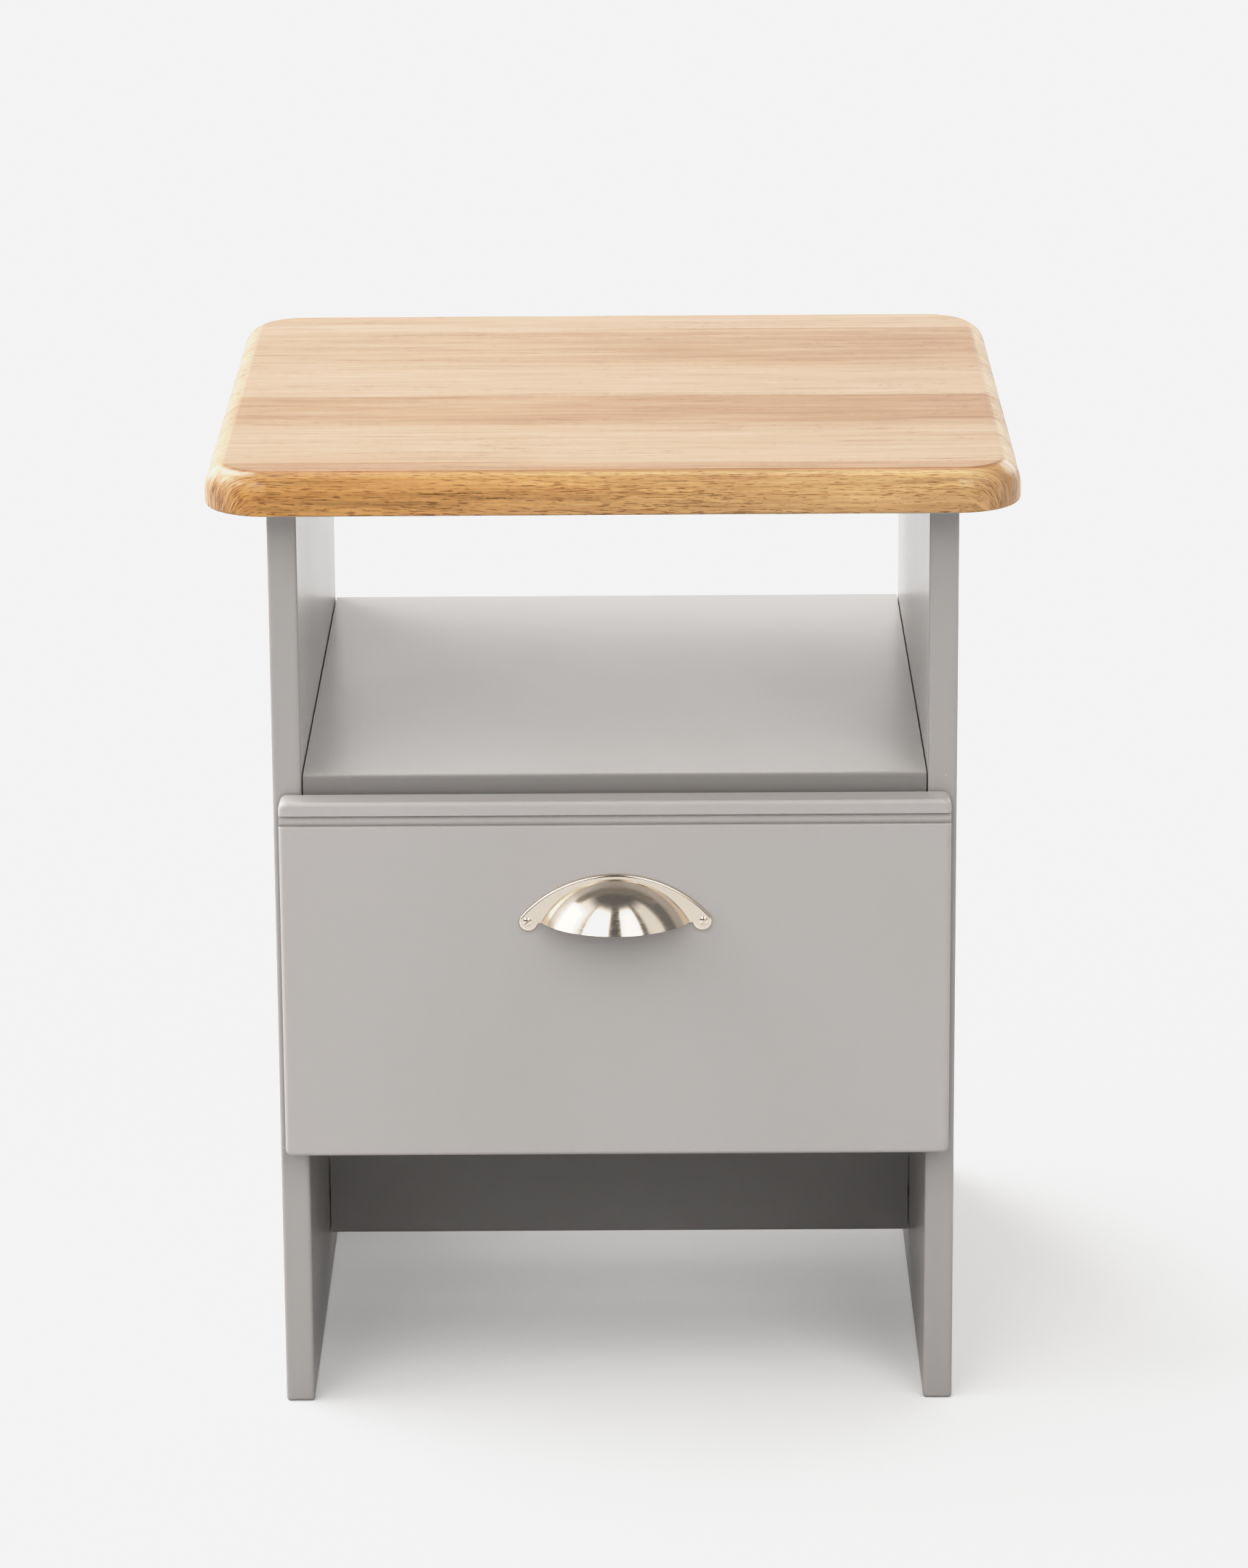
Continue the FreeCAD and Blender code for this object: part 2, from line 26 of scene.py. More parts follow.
# ---------------------------------------------------------------- node helpers
class Graph:
    """Short calls that add nodes to one node tree."""

    def __init__(self, tree):
        self.tree = tree

    def new(self, kind, **props):
        node = self.tree.nodes.new(kind)
        for key, value in props.items():
            setattr(node, key, value)
        return node

    def put(self, socket, value):
        if isinstance(value, bpy.types.NodeSocket):
            self.tree.links.new(value, socket)
        elif isinstance(value, (tuple, list)):
            n = len(socket.default_value)
            value = tuple(value) + (1.0,) * (n - len(value))
            socket.default_value = value[:n]
        else:
            socket.default_value = value

    def math(self, op, a, b=None, c=None, clamp=False):
        node = self.new("ShaderNodeMath", operation=op, use_clamp=clamp)
        for i, v in enumerate((a, b, c)):
            if v is not None:
                self.put(node.inputs[i], v)
        return node.outputs[0]

    def add(self, a, b):
        return self.math("ADD", a, b)

    def sub(self, a, b):
        return self.math("SUBTRACT", a, b)

    def mul(self, a, b):
        return self.math("MULTIPLY", a, b)

    def inv(self, a):
        return self.math("SUBTRACT", 1.0, a)

    def sep(self, vector):
        node = self.new("ShaderNodeSeparateXYZ")
        self.put(node.inputs[0], vector)
        return node.outputs[0], node.outputs[1], node.outputs[2]

    def vec(self, x, y, z):
        node = self.new("ShaderNodeCombineXYZ")
        for i, v in enumerate((x, y, z)):
            self.put(node.inputs[i], v)
        return node.outputs[0]

    def vmul(self, a, b):
        node = self.new("ShaderNodeVectorMath", operation="MULTIPLY")
        self.put(node.inputs[0], a)
        self.put(node.inputs[1], b)
        return node.outputs[0]

    def step(self, value, lo, hi, out_lo=0.0, out_hi=1.0, smooth=True):
        node = self.new("ShaderNodeMapRange", interpolation_type="SMOOTHSTEP" if smooth else "LINEAR")
        for i, v in enumerate((value, lo, hi, out_lo, out_hi)):
            self.put(node.inputs[i], v)
        return node.outputs[0]

    def band(self, value, lo, hi, soft_lo, soft_hi):
        """1 between lo and hi, with soft edges of the given widths."""
        up = self.step(value, lo - soft_lo / 2, lo + soft_lo / 2)
        down = self.step(value, hi - soft_hi / 2, hi + soft_hi / 2, 1.0, 0.0)
        return self.mul(up, down)

    def mix(self, fac, a, b, blend="MIX"):
        node = self.new("ShaderNodeMix", data_type="RGBA", blend_type=blend)
        self.put(node.inputs[0], fac)
        self.put(node.inputs[6], a)
        self.put(node.inputs[7], b)
        return node.outputs[2]

    def fmix(self, fac, a, b):
        node = self.new("ShaderNodeMix", data_type="FLOAT")
        self.put(node.inputs[0], fac)
        self.put(node.inputs[2], a)
        self.put(node.inputs[3], b)
        return node.outputs[0]

    def noise(self, vector, scale=1.0, detail=2.0, rough=0.5, distortion=0.0):
        node = self.new("ShaderNodeTexNoise", noise_dimensions="3D")
        self.put(node.inputs["Vector"], vector)
        node.inputs["Scale"].default_value = scale
        node.inputs["Detail"].default_value = detail
        node.inputs["Roughness"].default_value = rough
        node.inputs["Distortion"].default_value = distortion
        return node.outputs[0]

    def cells(self, vector, scale, feature="F1", smooth=0.0):
        node = self.new("ShaderNodeTexVoronoi", feature=feature)
        self.put(node.inputs["Vector"], vector)
        node.inputs["Scale"].default_value = scale
        if feature == "SMOOTH_F1":
            node.inputs["Smoothness"].default_value = smooth
        return node.outputs["Distance"]

    def ramp(self, fac, stops):
        node = self.new("ShaderNodeValToRGB")
        cr = node.color_ramp
        while len(cr.elements) < len(stops):
            cr.elements.new(0.5)
        for e, (pos, col) in zip(cr.elements, stops):
            e.position = pos
            e.color = tuple(col) + (1.0,)
        self.put(node.inputs[0], fac)
        return node.outputs[0]

    def bump(self, height, strength, distance, normal=None):
        node = self.new("ShaderNodeBump")
        node.inputs["Strength"].default_value = strength
        node.inputs["Distance"].default_value = distance
        self.put(node.inputs["Height"], height)
        if normal is not None:
            self.put(node.inputs["Normal"], normal)
        return node.outputs[0]

    def place(self):
        """Place and facing of the shaded point, in the frame's own metres."""
        node = self.new("ShaderNodeTexCoord")
        return node.outputs["Object"], node.outputs["Normal"]


def material(name):
    mat = bpy.data.materials.new(name)
    mat.use_nodes = True
    mat.node_tree.nodes.clear()
    g = Graph(mat.node_tree)
    out = g.new("ShaderNodeOutputMaterial")
    bsdf = g.new("ShaderNodeBsdfPrincipled")
    g.tree.links.new(bsdf.outputs[0], out.inputs[0])
    return mat, g, bsdf


# ---------------------------------------------------------------- materials
TOP_Z = 0.540


def oak_effect():
    mat, g, bsdf = material("oak_effect_foil")
    pos, nor = g.place()
    x, y, z = g.sep(pos)
    nx, ny, nz = g.sep(nor)
    # the foil is pressed over the rim, so the grain runs on down each edge
    drop = g.math("MAXIMUM", g.sub(TOP_Z, z), 0.0)
    flat = g.math("SQRT", g.add(g.add(g.mul(nx, nx), g.mul(ny, ny)), 1e-4))
    s = g.add(x, g.mul(drop, g.math("DIVIDE", nx, flat)))
    v = g.add(y, g.mul(drop, g.math("DIVIDE", ny, flat)))
    rim = g.step(drop, 0.0001, 0.0014)
    ends = g.mul(rim, g.step(g.math("ABSOLUTE", nx), 0.35, 0.85))
    # slow sway of the grain lines, and a slant where the foil turns over the ends
    sway = g.sub(g.noise(g.vec(g.mul(s, 2.4), g.mul(v, 8.0), 0.3), 1.0, 1.0), 0.5)
    ripple = g.sub(g.noise(g.vec(g.mul(s, 14.0), g.mul(v, 40.0), 5.1), 1.0, 1.0), 0.5)
    w = g.add(g.add(v, g.mul(sway, 0.011)), g.mul(ripple, 0.0016))
    w = g.add(w, g.mul(g.mul(ends, drop), 0.55))
    grain = g.vec(s, w, 0.0)

    # broad bands, redder heartwood against pale sapwood
    slow = g.noise(g.vmul(grain, (2.8, 36.0, 1.0)), 1.0, 2.0, 0.55)
    patch = g.noise(g.vmul(grain, (7.0, 85.0, 1.0)), 1.0, 2.0, 0.60)
    b_back = g.mul(g.band(w, 0.066, 0.158, 0.050, 0.012), g.step(s, -0.20, 0.14, 0.38, 1.25))
    b_mid = g.mul(g.band(w, -0.080, -0.0110, 0.034, 0.0020), g.step(s, -0.12, 0.18, 0.90, 1.28))
    b_front = g.band(w, -0.1835, -0.1670, 0.0006, 0.0016)
    b_line = g.mul(g.band(w, 0.1610, 0.1650, 0.0022, 0.0010), g.step(s, -0.05, 0.03))
    broad = g.add(g.add(g.mul(b_back, 0.78), g.mul(b_mid, 0.95)), g.add(g.mul(b_front, 0.75), g.mul(b_line, 0.80)))
    red = g.mul(broad, g.step(patch, 0.28, 0.66, 0.55, 1.12))
    red = g.math("MINIMUM", g.add(red, g.step(slow, 0.50, 0.76, 0.0, 0.42)), 1.20)
    red = g.mul(red, g.inv(g.mul(rim, 0.75)))

    pale = (0.612, 0.392, 0.245)
    deep = (0.462, 0.246, 0.112)
    along = g.step(s, -0.20, 0.16)
    golden = g.mix(along, (0.745, 0.425, 0.169), (0.830, 0.540, 0.277))
    golden = g.mix(ends, golden, (0.740, 0.490, 0.300))
    colour = g.mix(rim, pale, golden)
    colour = g.mix(g.math("MINIMUM", red, 1.15), colour, g.mix(rim, deep, (0.56, 0.30, 0.110)))

    # fibres in four widths
    f0 = g.noise(g.vmul(grain, (5.0, 130.0, 1.0)), 1.0, 2.0, 0.60)
    f1 = g.noise(g.vmul(grain, (9.0, 300.0, 1.0)), 1.0, 3.0, 0.60)
    f2 = g.noise(g.vmul(grain, (26.0, 760.0, 1.0)), 1.0, 3.0, 0.60)
    f3 = g.noise(g.vmul(grain, (80.0, 1800.0, 1.0)), 1.0, 2.0, 0.60)
    fib = g.add(g.add(g.mul(f0, 0.24), g.mul(f1, 0.30)), g.add(g.mul(f2, 0.28), g.mul(f3, 0.18)))
    tone = g.step(fib, 0.38, 0.62, g.fmix(rim, 0.80, 0.68), g.fmix(rim, 1.16, 1.24), smooth=False)
    colour = g.mix(1.0, colour, g.vec(tone, g.mul(tone, g.step(fib, 0.38, 0.62, 0.975, 1.015)), g.mul(tone, g.step(fib, 0.38, 0.62, 0.93, 1.04))), "MULTIPLY")

    # thin red-brown streaks along the grain
    st1 = g.noise(g.vmul(g.vec(s, w, 7.0), (13.0, 330.0, 1.0)), 1.0, 3.0, 0.55)
    st2 = g.noise(g.vmul(g.vec(s, w, 9.0), (30.0, 640.0, 1.0)), 1.0, 2.0, 0.55)
    crowd = g.noise(g.vmul(grain, (6.0, 46.0, 1.0)), 1.0, 2.0, 0.6)
    lim1 = g.sub(g.step(crowd, 0.30, 0.72, 0.675, 0.585), g.mul(g.math("MINIMUM", red, 1.0), 0.030))
    lim2 = g.sub(g.step(crowd, 0.28, 0.72, 0.690, 0.590), g.mul(g.math("MINIMUM", red, 1.0), 0.030))
    streak = g.math("MAXIMUM", g.step(g.sub(st1, lim1), 0.0, 0.060), g.mul(g.step(g.sub(st2, lim2), 0.0, 0.060), 0.85))
    colour = g.mix(g.mul(streak, 0.62), colour, g.mix(1.0, colour, (0.66, 0.52, 0.44), "MULTIPLY"))

    # pores: short dark dashes, thick on the rim
    dash = g.noise(g.vmul(grain, (120.0, 1250.0, 1.0)), 1.0, 2.0, 0.50)
    dash2 = g.noise(g.vmul(g.vec(s, w, 4.0), (52.0, 560.0, 1.0)), 1.0, 2.0, 0.5)
    lim3 = g.sub(g.step(crowd, 0.30, 0.70, 0.720, 0.610), g.mul(rim, 0.105))
    lim4 = g.sub(g.step(crowd, 0.35, 0.75, 0.755, 0.650), g.mul(rim, 0.100))
    pore = g.step(g.sub(dash, lim3), 0.0, 0.050)
    pore2 = g.step(g.sub(dash2, lim4), 0.0, 0.050)
    dark = g.math("MINIMUM", g.add(g.mul(pore, g.fmix(rim, 0.55, 0.70)), g.mul(pore2, g.fmix(rim, 0.50, 0.36))), 0.90)
    colour = g.mix(dark, colour, g.mix(1.0, colour, (0.40, 0.30, 0.23), "MULTIPLY"))

    # pale flecks, slightly askew
    askew = g.vec(g.add(s, g.mul(w, 0.6)), g.sub(w, g.mul(s, 0.035)), 3.0)
    fleck = g.step(g.noise(g.vmul(askew, (46.0, 700.0, 1.0)), 1.0, 1.0, 0.5), 0.66, 0.76)
    colour = g.mix(g.mul(fleck, g.fmix(rim, 0.30, 0.45)), colour, g.mix(rim, (0.72, 0.52, 0.33), (0.92, 0.68, 0.36)))

    # a few long cracks of dark grain in the front edge
    def crack(s0, s1, v0, slope, thick):
        line = g.sub(w, g.add(g.mul(g.sub(s, s0), slope), v0))
        wob = g.mul(g.sub(f1, 0.5), 0.0022)
        near = g.step(g.math("ABSOLUTE", g.add(line, wob)), 0.0, thick, 1.0, 0.0)
        return g.mul(near, g.band(s, s0, s1, 0.022, 0.006))

    cracks = g.math("MAXIMUM", crack(-0.112, -0.066, -0.2052, 0.020, 0.0006), crack(-0.078, -0.048, -0.2076, 0.016, 0.0008))
    cracks = g.mul(cracks, g.step(g.noise(g.vmul(g.vec(s, w, 2.0), (190.0, 900.0, 1.0)), 1.0, 2.0, 0.6), 0.40, 0.58))
    colour = g.mix(g.mul(g.mul(cracks, rim), 0.75), colour, (0.10, 0.045, 0.016))

    # one small knot
    kx = g.mul(g.sub(s, 0.156), 0.45)
    ky = g.sub(w, 0.0105)
    kd = g.math("SQRT", g.add(g.mul(kx, kx), g.mul(ky, ky)))
    kr = g.math("SINE", g.mul(g.add(kd, g.mul(g.sub(f1, 0.5), 0.002)), 2600.0))
    kfall = g.step(kd, 0.0010, 0.0052, 1.0, 0.0)
    knot = g.math("MAXIMUM", g.mul(g.mul(kfall, g.step(kr, -0.2, 0.9)), 0.42), g.step(kd, 0.0002, 0.0012, 0.45, 0.0))
    colour = g.mix(knot, colour, (0.30, 0.15, 0.07))

    # the right half of the flat is a shade deeper
    shade = g.fmix(rim, g.step(s, -0.10, 0.18, 1.0, 0.93), 1.0)
    colour = g.mix(1.0, colour, g.vec(shade, shade, shade), "MULTIPLY")

    # plain backing paper under the board
    under = g.step(nz, -0.6, -0.8)
    speck = g.noise(pos, 900.0, 2.0, 0.6)
    backing = g.mix(g.step(speck, 0.35, 0.65), (0.72, 0.700, 0.670), (0.78, 0.760, 0.730))
    colour = g.mix(under, colour, backing)

    rough = g.add(g.step(fib, 0.35, 0.65, 0.340, 0.285), g.mul(pore, 0.10))
    rough = g.fmix(under, rough, 0.62)
    height = g.sub(g.mul(fib, 0.45), g.add(g.mul(pore, 0.45), g.mul(pore2, 0.35)))
    height = g.sub(height, g.mul(cracks, 0.5))
    g.put(bsdf.inputs["Base Color"], colour)
    g.put(bsdf.inputs["Roughness"], rough)
    g.put(bsdf.inputs["Normal"], g.bump(height, 0.20, 0.00030))
    bsdf.inputs["IOR"].default_value = 1.22
    # the pressed edge takes a thin hard sheen
    straight = g.step(g.math("DIVIDE", g.math("ABSOLUTE", nx), flat), 0.970, 0.998)
    sheen = g.mul(g.step(nz, 0.40, 0.70, 0.20, 1.0), g.inv(g.mul(straight, 0.90)))
    g.put(bsdf.inputs["Coat Weight"], g.mul(rim, sheen))
    bsdf.inputs["Coat Roughness"].default_value = 0.13
    bsdf.inputs["Coat IOR"].default_value = 1.75
    return mat


def grey_foil(name, base, emboss, rough_lo, rough_hi, wear, shelf_edge_shade=False):
    """Warm grey foil on board, with a fine leathery emboss."""
    mat, g, bsdf = material(name)
    pos, nor = g.place()
    x, y, z = g.sep(pos)
    ny = g.sep(nor)[1]
    cloud = g.noise(pos, 5.0, 2.0, 0.50)
    drift = g.noise(g.vmul(pos, (9.0, 9.0, 3.0)), 1.0, 2.0, 0.50)
    tone = g.mul(g.step(cloud, 0.0, 1.0, 0.970, 1.030, smooth=False), g.step(drift, 0.0, 1.0, 0.978, 1.022, smooth=False))
    colour = g.mix(1.0, base, g.vec(tone, tone, g.mul(tone, g.step(cloud, 0.0, 1.0, 0.992, 1.008, smooth=False))), "MULTIPLY")
    leather = g.cells(pos, 430.0, "SMOOTH_F1", 0.75)
    pebble = g.noise(pos, 620.0, 1.0, 0.5)
    height = g.add(g.mul(leather, 0.7), g.mul(pebble, 0.5))
    # tiny pale chips along the front and lower arrises, few and far between
    chip = g.noise(pos, 420.0, 1.0, 0.5)
    rare = g.noise(pos, 38.0, 2.0, 0.6)
    arris = g.math("MAXIMUM", g.step(z, 0.0015, 0.0090, 1.0, 0.0), g.step(y, -0.1660, -0.1630, 1.0, 0.0))
    speck = g.mul(g.mul(g.step(chip, 0.760, 0.79), g.step(rare, 0.54, 0.62)), arris)
    colour = g.mix(g.mul(speck, wear), colour, (0.80, 0.79, 0.77))
    # painted shade: a darker strip on the shelf's front edge stands in for the shade that falls there above the drawer
    # front
    if shelf_edge_shade:
        painted_lip_shade = g.mul(g.step(ny, -0.75, -0.45, 1.0, 0.0), g.step(y, -0.150, -0.145, 1.0, 0.0))
        painted_lip_shade = g.mul(painted_lip_shade, g.mul(g.band(z, 0.3450, 0.3665, 0.0004, 0.0004), g.band(x, -0.1699, 0.1699, 0.0002, 0.0002)))
        colour = g.mix(painted_lip_shade, colour, g.mix(1.0, colour, (0.66, 0.655, 0.65), "MULTIPLY"))
    rough = g.step(g.noise(pos, 12.0, 2.0, 0.5), 0.3, 0.7, rough_lo, rough_hi)
    g.put(bsdf.inputs["Base Color"], colour)
    g.put(bsdf.inputs["Roughness"], rough)
    g.put(bsdf.inputs["Normal"], g.bump(height, emboss, 0.00020))
    bsdf.inputs["IOR"].default_value = 1.50
    return mat


def hardboard():
    mat, g, bsdf = material("painted_hardboard")
    pos, nor = g.place()
    cloud = g.noise(pos, 9.0, 3.0, 0.6)
    fibre = g.noise(g.vmul(pos, (1.0, 1.0, 1.0)), 1400.0, 3.0, 0.6)
    tone = g.mul(g.step(cloud, 0.3, 0.7, 0.96, 1.03), g.step(fibre, 0.3, 0.7, 0.97, 1.02))
    g.put(bsdf.inputs["Base Color"], g.mix(1.0, (0.52, 0.505, 0.48), g.vec(tone, tone, tone), "MULTIPLY"))
    g.put(bsdf.inputs["Roughness"], g.step(fibre, 0.3, 0.7, 0.48, 0.60))
    g.put(bsdf.inputs["Normal"], g.bump(fibre, 0.18, 0.0002))
    return mat


def nickel():
    mat, g, bsdf = material("polished_nickel")
    pos, nor = g.place()
    cloud = g.noise(pos, 60.0, 3.0, 0.6)
    pit = g.noise(pos, 1900.0, 2.0, 0.6)
    line = g.noise(g.vmul(pos, (260.0, 260.0, 2600.0)), 1.0, 2.0, 0.6)
    tone = g.step(cloud, 0.3, 0.7, 0.97, 1.02)
    colour = g.mix(1.0, (0.770, 0.692, 0.600), g.vec(tone, tone, tone), "MULTIPLY")
    dull = g.step(pit, 0.66, 0.74)
    colour = g.mix(g.mul(dull, 0.25), colour, (0.60, 0.53, 0.45))
    rough = g.add(g.step(line, 0.3, 0.7, 0.10, 0.17), g.mul(dull, 0.08))
    g.put(bsdf.inputs["Base Color"], colour)
    bsdf.inputs["Metallic"].default_value = 1.0
    g.put(bsdf.inputs["Roughness"], rough)
    g.put(bsdf.inputs["Normal"], g.bump(g.add(g.mul(cloud, 0.6), g.mul(line, 0.05)), 0.05, 0.0004))
    return mat


def zinc():
    mat, g, bsdf = material("zinc_plate")
    pos, nor = g.place()
    spangle = g.noise(pos, 650.0, 3.0, 0.6)
    tone = g.step(spangle, 0.3, 0.7, 0.86, 1.06)
    g.put(bsdf.inputs["Base Color"], g.mix(1.0, (0.62, 0.62, 0.61), g.vec(tone, tone, tone), "MULTIPLY"))
    bsdf.inputs["Metallic"].default_value = 1.0
    g.put(bsdf.inputs["Roughness"], g.step(spangle, 0.3, 0.7, 0.29, 0.42))
    g.put(bsdf.inputs["Normal"], g.bump(spangle, 0.08, 0.0002))
    return mat


def beech():
    mat, g, bsdf = material("bare_beech")
    pos, nor = g.place()
    fib = g.noise(g.vmul(pos, (900.0, 900.0, 90.0)), 1.0, 3.0, 0.6)
    g.put(bsdf.inputs["Base Color"], g.ramp(fib, [(0.25, (0.46, 0.29, 0.16)), (0.55, (0.62, 0.43, 0.26)), (0.8, (0.70, 0.52, 0.34))]))
    g.put(bsdf.inputs["Roughness"], g.step(fib, 0.3, 0.7, 0.55, 0.7))
    g.put(bsdf.inputs["Normal"], g.bump(fib, 0.2, 0.0002))
    return mat


def enamel():
    mat, g, bsdf = material("white_enamel")
    pos, nor = g.place()
    peel = g.noise(pos, 420.0, 2.0, 0.5)
    cloud = g.noise(pos, 25.0, 3.0, 0.6)
    tone = g.step(cloud, 0.3, 0.7, 0.965, 1.015)
    g.put(bsdf.inputs["Base Color"], g.mix(1.0, (0.80, 0.80, 0.785), g.vec(tone, tone, tone), "MULTIPLY"))
    g.put(bsdf.inputs["Roughness"], g.step(peel, 0.3, 0.7, 0.28, 0.38))
    g.put(bsdf.inputs["Normal"], g.bump(peel, 0.10, 0.0003))
    return mat


def nylon():
    mat, g, bsdf = material("white_nylon")
    pos, nor = g.place()
    cloud = g.noise(pos, 120.0, 3.0, 0.6)
    tone = g.step(cloud, 0.3, 0.7, 0.95, 1.03)
    g.put(bsdf.inputs["Base Color"], g.mix(1.0, (0.80, 0.80, 0.775), g.vec(tone, tone, tone), "MULTIPLY"))
    g.put(bsdf.inputs["Roughness"], g.step(cloud, 0.3, 0.7, 0.42, 0.52))
    bsdf.inputs["Subsurface Weight"].default_value = 0.15
    bsdf.inputs["Subsurface Radius"].default_value = (0.0012, 0.0012, 0.0010)
    g.put(bsdf.inputs["Normal"], g.bump(cloud, 0.08, 0.0003))
    return mat


MATERIALS = {
    "oak_effect": oak_effect(),
    # the board material also carries the painted shade strip on the shelf's front edge
    "grey_board": grey_foil("grey_foil_board", (0.552, 0.532, 0.519), 0.060, 0.280, 0.298, 0.55, shelf_edge_shade=True),
    "grey_front": grey_foil("grey_foil_front", (0.632, 0.609, 0.596), 0.025, 0.285, 0.305, 0.0),
    "drawer_board": grey_foil("grey_foil_drawer", (0.500, 0.487, 0.470), 0.06, 0.44, 0.50, 0.20),
    "hardboard": hardboard(),
    "nickel": nickel(),
    "zinc": zinc(),
    "beech": beech(),
    "runner_enamel": enamel(),
    "nylon": nylon(),
}
SLOTS = {row["node"]: row["material_slot"] for row in frame["record"]["subparts"]}
for name, obj in frame["nodes"].items():
    for i in range(len(obj.material_slots)):
        obj.material_slots[i].material = MATERIALS[SLOTS[name]]


# ---------------------------------------------------------------- floor
def make_floor():
    mesh = bpy.data.meshes.new("floor")
    r = 25.0
    mesh.from_pydata([(-r, -r, 0), (r, -r, 0), (r, r, 0), (-r, r, 0)], [], [(0, 1, 2, 3)])
    obj = bpy.data.objects.new("floor", mesh)
    scene.collection.objects.link(obj)
    mat, g, bsdf = material("pale_floor")
    pos, nor = g.place()
    tone = g.step(g.noise(pos, 3.0, 2.0, 0.5), 0.0, 1.0, 0.988, 1.012, smooth=False)
    path = g.new("ShaderNodeLightPath")
    shown, soft = path.outputs["Is Camera Ray"], path.outputs["Is Diffuse Ray"]
    # painted shade in bounced and mirrored light: diffuse rays see the floor at about half the brightness the camera
    # sees, darkest under the table, and mirror rays see the floor more than a metre in front a little darker
    x, y, z = g.sep(pos)
    under = g.mul(g.band(x, -0.20, 0.20, 0.10, 0.10), g.band(y, -0.24, 0.55, 0.16, 0.50))
    beside = g.step(y, -0.20, 0.10)
    bounce_shade = g.fmix(under, g.fmix(beside, 0.46, 0.50), 0.36)
    mirror_shade = g.step(y, -1.05, -0.70, 0.76, 0.95)
    shade = g.mul(tone, g.fmix(shown, g.fmix(soft, mirror_shade, bounce_shade), 0.95))
    g.put(bsdf.inputs["Base Color"], g.vec(shade, shade, shade))
    bsdf.inputs["Roughness"].default_value = 1.0
    bsdf.inputs["Specular IOR Level"].default_value = 0.0
    # painted light: the floor glows faintly where the camera sees it, and behind the table in mirror rays, so its
    # shadows never sink deep
    bsdf.inputs["Emission Color"].default_value = (1.0, 1.0, 1.0, 1.0)
    glow_rays = g.math("MAXIMUM", shown, g.mul(path.outputs["Is Glossy Ray"], g.step(y, 0.60, 1.20)))
    g.put(bsdf.inputs["Emission Strength"], g.mul(glow_rays, 0.165))
    mesh.materials.append(mat)
    return obj


make_floor()


# ---------------------------------------------------------------- light
# brightness of each part of the studio around the table
LEVELS = {
    "ceiling": 0.21, "ceiling_back": 0.90, "front_low": 0.16, "front_gap": 0.16, "pane_left": 2.12, "pane_right": 2.60,
    "pane_side": 0.95, "right_low": 0.25, "right_high": 0.25, "back_right_low": 1.80, "back_right_high": 0.30,
    "back_low": 1.75, "back_high": 0.25, "back_left_low": 2.20, "back_left_high": 4.40, "left": 1.20, "key": 2.00,
}


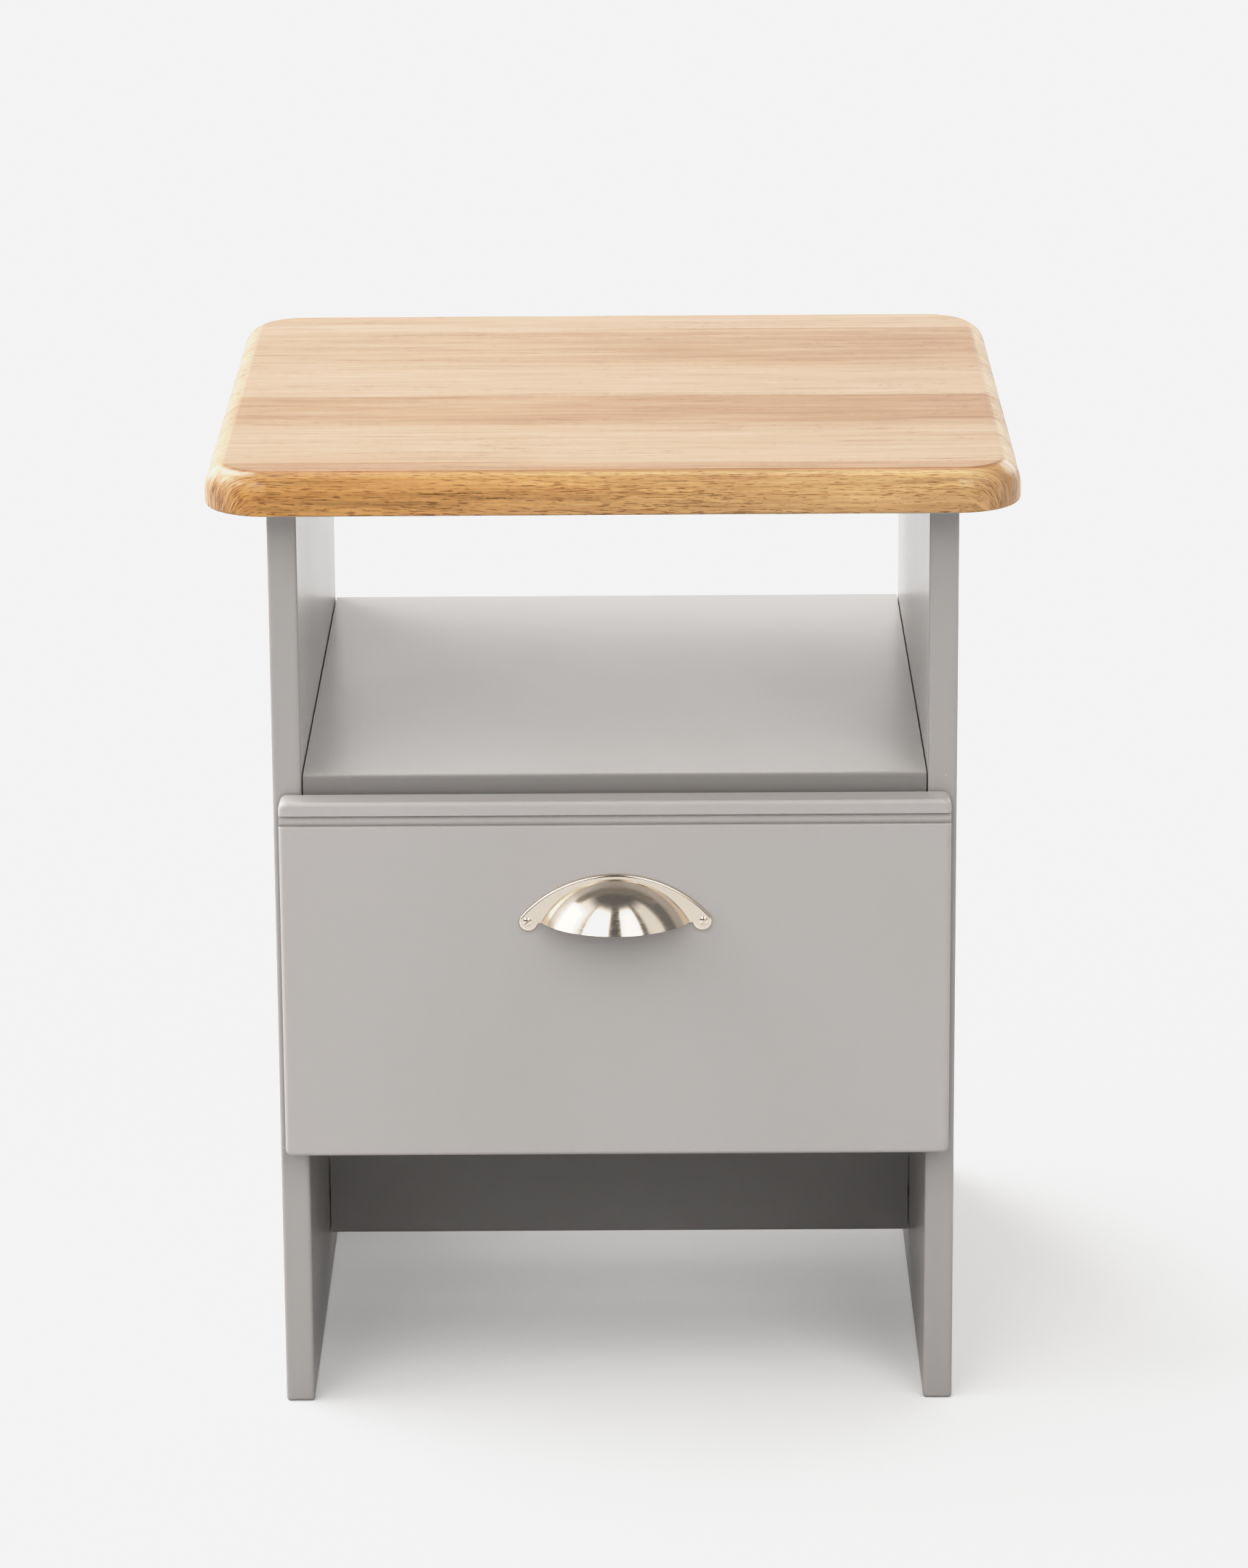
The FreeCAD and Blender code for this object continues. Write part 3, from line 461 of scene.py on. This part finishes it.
def make_world(levels):
    world = bpy.data.worlds.new("studio")
    scene.world = world
    world.use_nodes = True
    world.node_tree.nodes.clear()
    g = Graph(world.node_tree)
    out = g.new("ShaderNodeOutputWorld")
    tc = g.new("ShaderNodeTexCoord")
    dx, dy, dz = g.sep(tc.outputs["Generated"])
    # azimuth 0 is the front of the table, 90 its right side, 180 its back
    az = g.math("DEGREES", g.math("ARCTAN2", dx, g.mul(dy, -1.0)))
    el = g.math("DEGREES", g.math("ARCSINE", dz))
    wall = g.step(el, 56.0, 72.0, 1.0, 0.0)
    top = g.inv(wall)
    rear = g.step(dy, -0.02, 0.10)
    rear_inv = g.inv(rear)
    turn = g.math("ABSOLUTE", az)
    front = g.mul(g.band(az, -54.0, 50.0, 8.0, 4.0), wall)
    low = g.step(el, 18.5, 21.5, 1.0, 0.0)
    upper = g.mul(front, g.inv(low))
    p_left = g.band(az, -50.0, -11.0, 3.0, 2.0)
    p_right = g.band(az, 10.0, 40.0, 2.0, 3.0)
    floorward = g.step(el, 27.0, 37.0, 1.0, 0.0)
    lofty = g.mul(wall, g.inv(floorward))
    s_right = g.band(az, 76.0, 122.0, 4.0, 16.0)
    s_back_right = g.band(az, 122.0, 158.0, 16.0, 12.0)
    s_back = g.step(turn, 152.0, 164.0)
    s_back_left = g.band(az, -158.0, -122.0, 12.0, 16.0)
    masks = {
        "ceiling": g.mul(top, rear_inv),
        "ceiling_back": g.mul(top, rear),
        "front_low": g.mul(front, low),
        "pane_left": g.mul(upper, p_left),
        "pane_right": g.mul(upper, p_right),
        "front_gap": g.mul(upper, g.inv(g.add(p_left, p_right))),
        "pane_side": g.mul(wall, g.band(az, 50.0, 76.0, 4.0, 4.0)),
        "right_low": g.mul(floorward, s_right),
        "right_high": g.mul(lofty, s_right),
        "back_right_low": g.mul(floorward, s_back_right),
        "back_right_high": g.mul(lofty, s_back_right),
        "back_low": g.mul(floorward, s_back),
        "back_high": g.mul(lofty, s_back),
        "back_left_low": g.mul(floorward, s_back_left),
        "back_left_high": g.mul(lofty, s_back_left),
        "left": g.mul(wall, g.band(az, -122.0, -54.0, 16.0, 8.0)),
        "key": g.mul(g.band(az, -118.0, -64.0, 8.0, 8.0), g.band(el, 18.0, 50.0, 6.0, 6.0)),
    }
    sky = None
    for key, mask in masks.items():
        if levels.get(key, 0.0) > 0.0:
            part = g.mul(mask, levels[key])
            sky = part if sky is None else g.add(sky, part)
    shown = g.new("ShaderNodeLightPath").outputs["Is Camera Ray"]
    studio = g.new("ShaderNodeBackground")
    g.put(studio.inputs["Color"], g.vec(sky, g.mul(sky, 0.995), g.mul(sky, 0.985)))
    plain = g.new("ShaderNodeBackground")
    plain.inputs["Color"].default_value = (1.25, 1.25, 1.25, 1.0)
    both = g.new("ShaderNodeMixShader")
    g.put(both.inputs[0], shown)
    g.put(both.inputs[1], studio.outputs[0])
    g.put(both.inputs[2], plain.outputs[0])
    g.put(out.inputs[0], both.outputs[0])
    return world


make_world(LEVELS)


# ---------------------------------------------------------------- camera
def make_camera():
    data = bpy.data.cameras.new("camera")
    data.sensor_fit = "AUTO"
    data.sensor_width = 36.0
    data.lens = 132.574
    data.shift_x = 0.0
    data.shift_y = -0.10
    data.clip_end = 200.0
    cam = bpy.data.objects.new("camera", data)
    scene.collection.objects.link(cam)
    right = Vector((0.9999780091, 0.0017048673, -0.0064089505))
    up = Vector((0.0057285341, 0.2648595637, 0.9642699806))
    ahead = Vector((-0.0033414242, 0.9642854893, -0.2648439728))
    rot = Matrix((right, up, -ahead)).transposed()
    cam.matrix_world = Matrix.Translation((0.016042, -3.166204, 1.272012)) @ rot.to_4x4()
    scene.camera = cam
    return cam


make_camera()


# ---------------------------------------------------------------- exposure
def tone_curve():
    """A camera's response: a little contrast in the mid tones, and a shoulder that rolls whites off to a pale grey."""
    view = scene.view_settings
    view.view_transform = "Standard"
    view.look = "None"
    view.exposure = 0.0
    view.gamma = 1.0
    view.use_curve_mapping = True
    cm = view.curve_mapping
    full = 2.5
    cm.white_level = (full, full, full)
    cm.extend = "HORIZONTAL"
    low = [(x, 0.6 * (x / 0.6) ** 1.25) for x in (0.02, 0.05, 0.1, 0.15, 0.2, 0.3, 0.4, 0.5, 0.6)]
    shoulder = [(0.75, 0.735), (0.85, 0.815), (0.95, 0.866), (1.05, 0.889), (1.20, 0.896), (1.55, 0.899), (2.1, 0.99)]
    line = cm.curves[3]
    line.points[0].location = (0.0, 0.0)
    line.points[1].location = (1.0, 1.0)
    for x, y in low + shoulder:
        line.points.new(x / full, y)
    for point in line.points:
        point.handle_type = "VECTOR"
    cm.update()


tone_curve()
scene.cycles.use_denoising = True
scene.cycles.denoising_input_passes = "RGB_ALBEDO"

bpy.context.view_layer.update()
